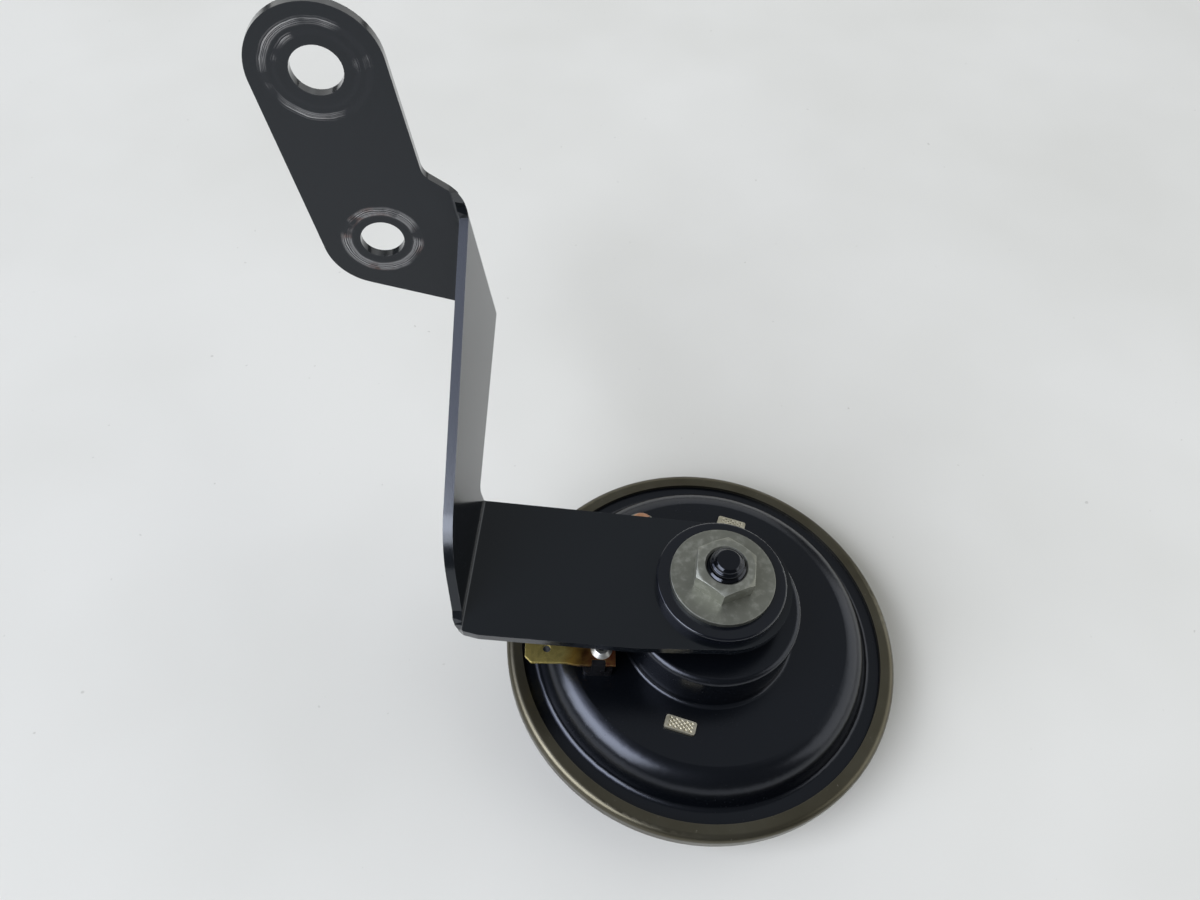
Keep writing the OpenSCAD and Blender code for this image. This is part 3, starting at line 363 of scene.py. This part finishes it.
# Brass blade browned by the heat of its joint: yellow at the free end, brown and red by the rivet
def heated_brass(name, tips):
    material, tree, shader, place = blank(name)
    near, far = [add(tree, "VectorMath", REACH, "Value", _0=place, _1=tuple(tip)) for tip in tips]
    # The ramp runs over 20 mm from the nearer blade's tip
    reach = add(tree, "Math", TIMES, _0=add(tree, "Math", SMALLER, _0=near, _1=far), _1=1 / (20 * MM))
    ragged = add(tree, "TexNoise", Vector=place, Scale=per_mm(2.5), Detail=3, Roughness=0.55)
    reach = add(tree, "Math", PLUS, _0=reach, _1=add(tree, "Math", TIMES, _0=ragged, _1=0.1))
    cloud = add(tree, "TexNoise", Vector=place, Scale=per_mm(1.2), Detail=4, Roughness=0.6)
    dull = add(tree, "ValToRGB", stops=((0.4, 0.0), (0.7, 0.5)), Fac=cloud)
    tone = add(tree, "ValToRGB", Fac=reach, stops=((0.45, "#DCCB7C"), (0.57, "#C09A4A"), (0.68, "#6A4828"),
                                                   (0.8, "#7C4830"), (0.95, "#8A5038")))
    tone = add(tree, "Mix", COLOURS, 2, _0=dull, _6=tone, _7="#7C6A34")
    # Edges painted pale yellow #E8DC9A: a painted highlight on the blade's edges, with some wear
    edge_wear_and_highlight = add(tree, "Math", TIMES, _0=worn_and_lit_edges(tree, 0.2, 2.4), _1=0.7)
    fine = add(tree, "TexNoise", Vector=place, Scale=per_mm(0.3), Detail=3, Roughness=0.55)
    fill(tree, shader,
         Base_Color=add(tree, "Mix", COLOURS, 2, _0=edge_wear_and_highlight, _6=tone, _7="#E8DC9A"),
         Metallic=1,
         Roughness=add(tree, "ValToRGB", stops=((0.3, 0.36), (0.7, 0.5)), Fac=cloud),
         Normal=add(tree, "Bump", Height=fine, Distance=0.008 * MM, Strength=0.6))
    return material


# Pressed board, fibre, card or moulded phenolic: a matte body with a faint fleck
def board(name, colour, fleck, rough=0.6, fleck_size=0.5):
    material, tree, shader, place = blank(name)
    grain = add(tree, "TexNoise", Vector=place, Scale=per_mm(fleck_size), Detail=4, Roughness=0.65)
    cloud = add(tree, "TexNoise", Vector=place, Scale=per_mm(4), Detail=3, Roughness=0.55)
    fill(tree, shader,
         Base_Color=add(tree, "ValToRGB", stops=((0.35, colour), (0.7, fleck)), Fac=grain),
         Roughness=add(tree, "ValToRGB", stops=((0.3, rough - 0.08), (0.7, rough + 0.08)), Fac=cloud),
         Normal=add(tree, "Bump", Height=grain, Distance=0.02 * MM, Strength=0.5))
    return material


# Enamelled copper wire wound in even turns: the turns stand a wire's width apart up the coil, with painted shade in
# the grooves between them
def wound_wire(name, colour):
    material, tree, shader, place = blank(name)
    # A wave texture has a band every twentieth of its scale
    turns = add(tree, "TexWave", {"bands_direction": "Z"}, "Fac", Vector=place,
                Scale=1 / (20 * sizes().wire_d), Distortion=0.3, Detail=1)
    fill(tree, shader,
         # The dark #3A1A0C at the low part of each band is painted shade in the groove between turns
         Base_Color=add(tree, "ValToRGB", stops=((0.1, "#3A1A0C"), (0.6, colour)), Fac=turns),
         Metallic=0.8, Roughness=0.3,
         Normal=add(tree, "Bump", Height=turns, Distance=0.3 * MM, Strength=1))
    return material


# Matt painted table top with faint clouding and dust
def painted_table(name, colour):
    material, tree, shader, place = blank(name)
    cloud = add(tree, "TexNoise", Vector=place, Scale=per_mm(130), Detail=3, Roughness=0.55)
    fine = add(tree, "TexNoise", Vector=place, Scale=per_mm(0.8), Detail=3, Roughness=0.55)
    tone = add(tree, "ValToRGB", stops=((0.3, "#DEDDD8"), (0.6, colour)), Fac=cloud)
    specks = add(tree, "TexNoise", Vector=place, Scale=per_mm(2.2), Detail=1, Roughness=0.4)
    specks = add(tree, "ValToRGB", stops=((0.79, 0.0), (0.83, 0.35)), Fac=specks)
    fill(tree, shader,
         Base_Color=add(tree, "Mix", COLOURS, 2, _0=specks, _6=tone, _7="#9E9B93"),
         Roughness=0.5, Specular_IOR_Level=0.35,
         Normal=add(tree, "Bump", Height=fine, Distance=0.03 * MM, Strength=0.5))
    return material


def dress(material, *nodes):
    """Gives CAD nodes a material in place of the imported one."""
    for node in nodes:
        for slot in frame["nodes"][node].material_slots:
            slot.material = material


def copy_of(node):
    """A merged copy of a CAD node's mesh, to be reshaped and stood in for it."""
    shape = bmesh.new()
    shape.from_mesh(frame["nodes"][node].data)
    bmesh.ops.remove_doubles(shape, verts=shape.verts, dist=SAME_POINT)
    return shape


def stand_in(shape, node, material):
    """Makes a finished piece of a bmesh, which stands for a CAD node and rides on its body."""
    # Each corner's normal is that of the faces that meet it smoothly, the large ones counting most,
    # so flats stay flat and only the roundings turn
    normals = []
    for face in shape.faces:
        for corner in face.verts:
            smooth = [f for f in corner.link_faces if f.normal.dot(face.normal) > math.cos(SMOOTH)]
            total = sum((f.normal * f.calc_area() for f in smooth), Vector())
            normals.append(total.normalized() if total.length > 0 else face.normal.copy())
    mesh = bpy.data.meshes.new("finished_" + node)
    shape.to_mesh(mesh)
    shape.free()
    mesh.shade_smooth()
    mesh.normals_split_custom_set(normals)
    mesh.materials.append(material)
    piece = bpy.data.objects.new("finished_" + node, mesh)
    bpy.context.scene.collection.objects.link(piece)
    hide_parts(node)
    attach(piece, body_of(frame["nodes"][node])[0])


def ease(node, width, material):
    """Stands a copy of a CAD node in for it, with its sharp edges rounded by a width in metres."""
    shape = copy_of(node)
    bmesh.ops.dissolve_limit(shape, angle_limit=math.radians(0.1), verts=shape.verts, edges=shape.edges)
    edges = [e for e in shape.edges if e.is_manifold and e.calc_face_angle() > SHARP]
    bmesh.ops.bevel(shape, geom=edges, offset=width, offset_type="OFFSET", segments=2,
                    profile=0.5, affect="EDGES", material=-1, clamp_overlap=True)
    shape.normal_update()
    stand_in(shape, node, material)


class HORN_OT_housing(bpy.types.Operator):
    """Enamels the housing and the front cover and tarnishes the ring"""
    bl_idname = "horn.housing"
    bl_label = "Housing and ring"

    def execute(self, context):
        enamel = gloss_enamel("gloss_black_enamel", colour_of("enamel"))
        dress(enamel, "front_cover")
        self.drum(enamel)
        dress(tarnished_plating("tarnished_plating", colour_of("plating")), "rim_ring")
        return {"FINISHED"}

    def drum(self, paint):
        """Stands a copy of the housing in for it, whose drum has the slanting wall of a deep drawing."""
        shape = copy_of("housing")
        shape.normal_update()
        size = sizes()
        flange = bottom_of("housing") + size.shell
        face = flange + size.drum_height
        # The wall runs straight from the shoulder's lower end to the foot's upper end
        wall_in = size.face_edge + size.shoulder * math.sin(size.slope)
        wall_out = size.foot_edge - size.foot * math.sin(size.slope)
        wall_high = face - size.shoulder * (1 - math.cos(size.slope))
        wall_low = flange + size.foot * (1 - math.cos(size.slope))
        for vert in shape.verts:
            reach, z = vert.co.xy.length, vert.co.z
            outside = vert.normal.xy.dot(vert.co.xy) > 0.05 * reach
            if not (outside and size.face_edge < reach < size.foot_edge and flange < z < face):
                continue
            if z > wall_high:
                radius = size.face_edge + math.sqrt(size.shoulder ** 2 - (z - face + size.shoulder) ** 2)
            elif z < wall_low:
                radius = size.foot_edge - math.sqrt(size.foot ** 2 - (flange + size.foot - z) ** 2)
            else:
                radius = wall_in + (wall_out - wall_in) * (wall_high - z) / (wall_high - wall_low)
            vert.co.xy *= radius / reach
        shape.normal_update()
        stand_in(shape, "housing", paint)


class HORN_OT_bracket(bpy.types.Operator):
    """Paints the bracket, rounds its stamped edges and wears it round its two holes"""
    bl_idname = "horn.bracket"
    bl_label = "Bracket"

    def execute(self, context):
        upper, lower = mount("bracket_hole_upper"), mount("bracket_hole_lower")
        marks = (
            {"centre": upper, "start": 8.7, "end": 9.7, "left": 0.44, "patch": 12, "rust": 0.1},
            {"centre": upper, "start": 6.9, "end": 7.5, "left": 0.4, "patch": 7, "rust": 0.1},
            {"centre": lower, "start": 6.5, "end": 8.3, "left": 0.56, "patch": 7, "rust": 0.8},
        )
        edge = sizes().edge_round
        paint = stoved_paint("satin_black_stoving_paint", colour_of("bracket_paint"), marks)
        ease("bracket", edge, paint)
        disc_paint = stoved_paint("black_disc_paint", "#0A0C13")
        ease("upper_disc", edge, disc_paint)
        ease("lower_disc", edge, disc_paint)
        return {"FINISHED"}


class HORN_OT_fasteners(bpy.types.Operator):
    """Finishes the nuts, washers, stud, tabs and adjusting screw"""
    bl_idname = "horn.fasteners"
    bl_label = "Fasteners"

    def execute(self, context):
        middle = (0, 0, top_of("plain_washer"))
        washer_zinc = stamped_metal("turned_zinc", "#86877E", "#C8C9C0", "#7A7B72", centre=middle)
        ease("plain_washer", 0.2 * MM, washer_zinc)
        nut_zinc = stamped_metal("nut_zinc", "#8C8D84", "#D0D1C8", "#7C7E74", 0.46, middle)
        ease("mounting_nut", 0.1 * MM, nut_zinc)
        dress(stamped_metal("dull_zinc", colour_of("zinc"), "#C8C9C0", "#7C7E75"), "core_nut", "adjuster_bush",
              "tone_disc_nut", "diaphragm_nut", "diaphragm_washer", "tone_disc")
        dress(stamped_metal("cream_zinc", "#BAB4A0", "#E6E2D0", "#827C62", 0.5), "pole_bridge")
        dress(stamped_metal("copper_coloured_brass", "#CF9A78", "#EEC9AE", "#96664A", 0.4), "adjusting_screw")
        self.stud(gloss_enamel("stud_enamel", "#040508", 0.1, 0.12))
        return {"FINISHED"}

    def stud(self, paint):
        """Stud with its painted thread: a turned core and a helical ridge up to the chamfer."""
        low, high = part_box("mounting_stud")
        radius = (high.x - low.x) / 2
        pitch, depth = sizes().stud_pitch, sizes().thread_depth
        core, chamfer = radius - depth, radius * 0.4
        # The chamfer carries the last turn's run-out as two steps, thick with paint: how far each
        # corner is in from the stud's outside and down from its top, in millimetres
        corners = ((0.65, 1.05), (1.05, 0.85), (1.2, 0.5), (1.65, 0.0))
        outline = [(0, low.z), (core, low.z), (core, high.z - chamfer + depth / 2)]
        outline += [(radius - inward * MM, high.z - down * MM) for inward, down in corners]
        outline.append((0, high.z))
        shape = bmesh.new()
        points = [shape.verts.new((x, 0, z)) for x, z in outline]
        for pair in zip(points, points[1:]):
            shape.edges.new(pair)
        bmesh.ops.bevel(shape, geom=points[2:-1], offset=0.12 * MM, offset_type="OFFSET", segments=3,
                        profile=0.5, affect="VERTICES", material=-1)
        bmesh.ops.spin(shape, geom=shape.verts[:] + shape.edges[:], cent=(0, 0, 0), axis=(0, 0, 1),
                       angle=math.tau, steps=72, use_merge=True)
        # The ridge's root is sunk into the core, so the two close
        root, slices = core - 0.2 * MM, 48
        turns = int((high.z - chamfer - low.z) / pitch)
        start = high.z - chamfer - (turns + 1) * pitch
        ridge = bmesh.ops.create_circle(shape, cap_ends=True, segments=3, radius=depth)["verts"]
        for vert, (x, share) in zip(ridge, ((root, 0.05), (radius, 0.5), (root, 0.95))):
            vert.co = (x, 0, start + share * pitch)
        face = next(f for f in ridge[0].link_faces if len(f.verts) == 3)
        bmesh.ops.spin(shape, geom=[face] + list(face.edges) + list(face.verts), cent=(0, 0, 0), axis=(0, 0, 1),
                       dvec=(0, 0, pitch / slices), angle=math.tau * turns, steps=slices * turns)
        bmesh.ops.remove_doubles(shape, verts=shape.verts, dist=SAME_POINT)
        bmesh.ops.recalc_face_normals(shape, faces=shape.faces)
        stand_in(shape, "mounting_stud", paint)


class HORN_OT_terminals(bpy.types.Operator):
    """Finishes the blade terminals, their boards, insulators and rivets"""
    bl_idname = "horn.terminals"
    bl_label = "Terminals"

    def execute(self, context):
        tips = [mount("spade_terminal_a"), mount("spade_terminal_b")]
        ease("spade_terminals", 0.12 * MM, heated_brass("heat_browned_brass", tips))
        dress(stamped_metal("aged_brass", "#9C8446", "#C9B36F", "#6B5728", 0.38), "contact_spacer", "breaker_clamp")
        ease("terminal_rivets", 0.12 * MM, stamped_metal("tinned_rivet", "#D2D3D0", "#F4F4F0", "#9A9B95", 0.34))
        dress(board("phenolic_paper_board", "#4B2D1B", "#6B4429", 0.5), "terminal_boards",
              "breaker_insulators")
        dress(board("moulded_phenolic", "#0B0B0D", "#1C1C1F", 0.3, 1.2), "terminal_insulators",
              "inner_bushes", "coil_bobbin")
        return {"FINISHED"}


class HORN_OT_works(bpy.types.Operator):
    """Finishes the works inside the horn"""
    bl_idname = "horn.works"
    bl_label = "Works inside"

    def execute(self, context):
        dress(stamped_metal("spring_steel", "#85878A", "#B4B6B8", "#5F6163", 0.3), "diaphragm",
              "tone_disc_washer", "fixed_contact_bar", "breaker_arm")
        dress(stamped_metal("soft_iron", "#66686A", "#8C8E90", "#48494B", 0.5), "armature", "pole_core")
        dress(stamped_metal("phosphor_bronze", "#A87C4C", "#D0A878", "#7A5630", 0.3),
              "breaker_spring", "fixed_contact_spring")
        dress(stamped_metal("contact_metal", "#B9BABC", "#E2E2E4", "#8C8D90", 0.22),
              "fixed_contact_point", "moving_contact_point")
        dress(board("gasket_paper", "#2E271F", "#463B2F", 0.75), "front_gasket", "rear_gasket")
        dress(board("red_fibre", "#6B2F1C", "#8A4630", 0.6), "push_pad", "adjuster_tip")
        dress(board("lead_sleeving", "#16223E", "#24345A", 0.45, 0.4), "coil_leads")
        dress(wound_wire("enamelled_copper_wire", "#A0562A"), "coil_winding")
        return {"FINISHED"}


class HORN_OT_stage(bpy.types.Operator):
    """Sets the table, the soft lights and the camera at the photograph's angle"""
    bl_idname = "horn.stage"
    bl_label = "Table, lights and camera"

    def execute(self, context):
        self.table()
        self.lights()
        self.camera()
        context.scene.view_settings.view_transform = "Standard"
        return {"FINISHED"}

    def table(self):
        """A table top of 6 m by 6 m, a hair below the horn so that the two don't share a plane."""
        mesh = bpy.data.meshes.new("table")
        shape = bmesh.new()
        bmesh.ops.create_grid(shape, x_segments=1, y_segments=1, size=3)
        bmesh.ops.translate(shape, verts=shape.verts, vec=(0, 0, bottom_of("front_cover") - 0.02 * MM))
        shape.to_mesh(mesh)
        shape.free()
        table = bpy.data.objects.new("table", mesh)
        bpy.context.scene.collection.objects.link(table)
        mesh.materials.append(painted_table("painted_table", colour_of("table")))

    def lights(self):
        """A dim room with a window, a ceiling and two pale walls as soft panels."""
        world = bpy.data.worlds.new("room")
        world.use_nodes = True
        bpy.context.scene.world = world
        fill(world.node_tree, world.node_tree.nodes["Background"], Color="#EEF2F4", Strength=0.13)
        # Each panel: where its centre is, its width and height, its radiance and its tint
        panels = (
            ("window", (-2.15, -1.55, 2.05), (3.0, 2.2), 7.0, "#F3F7FF"),
            ("ceiling", (0.7, 1.3, 2.2), (3.2, 2.8), 0.25, "#F6FAFA"),
            ("wall", (2.0, 0.3, 0.95), (3.0, 1.7), 1.35, "#FBFBF8"),
            ("far_wall", (-0.3, 2.2, 0.9), (3.0, 1.4), 0.85, "#FBFBF8"),
            ("card", (-1.35, -0.45, 1.75), (2.4, 1.5), 2.6, "#E4EAFF"),
        )
        aim = Vector((-0.02, 0, 0.03))
        for name, place, size, radiance, tint in panels:
            light = bpy.data.lights.new(name, "AREA")
            light.shape = "RECTANGLE"
            light.size, light.size_y = size
            light.energy = radiance * math.pi * size[0] * size[1]
            light.color = linear(tint)[:3]
            lamp = bpy.data.objects.new(name, light)
            bpy.context.scene.collection.objects.link(lamp)
            lamp.location = place
            lamp.rotation_euler = (aim - Vector(place)).to_track_quat("-Z", "Y").to_euler()
        # The card shows only in gloss, as the long soft light along the drum's shoulder and the ring
        bpy.data.objects["card"].visible_diffuse = False

    def camera(self):
        """The photograph's view, worked out from the horn's round edges."""
        eye = bpy.data.cameras.new("photo_camera")
        eye.sensor_width = 36
        eye.lens = 27
        eye.clip_start = 0.01
        camera = bpy.data.objects.new("photo_camera", eye)
        bpy.context.scene.collection.objects.link(camera)
        camera.location = (-0.02763, -0.08931, 0.20916)
        camera.rotation_euler = [math.radians(a) for a in (35.3632, -3.2209, 4.7155)]
        bpy.context.scene.camera = camera


class HORN_PT_panel(bpy.types.Panel):
    bl_label = "Horn"
    bl_idname = "HORN_PT_panel"
    bl_space_type = "VIEW_3D"
    bl_region_type = "UI"
    bl_category = "Horn"

    def draw(self, context):
        for group in (context.scene.horn_sizes, context.scene.horn_colours):
            for key in group.__annotations__:
                self.layout.prop(group, key)
        for step in STEPS:
            self.layout.operator(step.bl_idname)


STEPS = (HORN_OT_stage, HORN_OT_housing, HORN_OT_bracket, HORN_OT_fasteners, HORN_OT_terminals, HORN_OT_works)
CLASSES = (FinishSizes, FinishColours) + STEPS + (HORN_PT_panel,)


def register():
    for cls in CLASSES:
        bpy.utils.register_class(cls)
    bpy.types.Scene.horn_sizes = PointerProperty(type=FinishSizes)
    bpy.types.Scene.horn_colours = PointerProperty(type=FinishColours)


def unregister():
    del bpy.types.Scene.horn_colours
    del bpy.types.Scene.horn_sizes
    for cls in reversed(CLASSES):
        bpy.utils.unregister_class(cls)


def main():
    register()
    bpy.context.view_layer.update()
    bpy.ops.horn.stage()
    bpy.ops.horn.housing()
    bpy.ops.horn.bracket()
    bpy.ops.horn.fasteners()
    bpy.ops.horn.terminals()
    bpy.ops.horn.works()


if __name__ == "__main__":
    main()
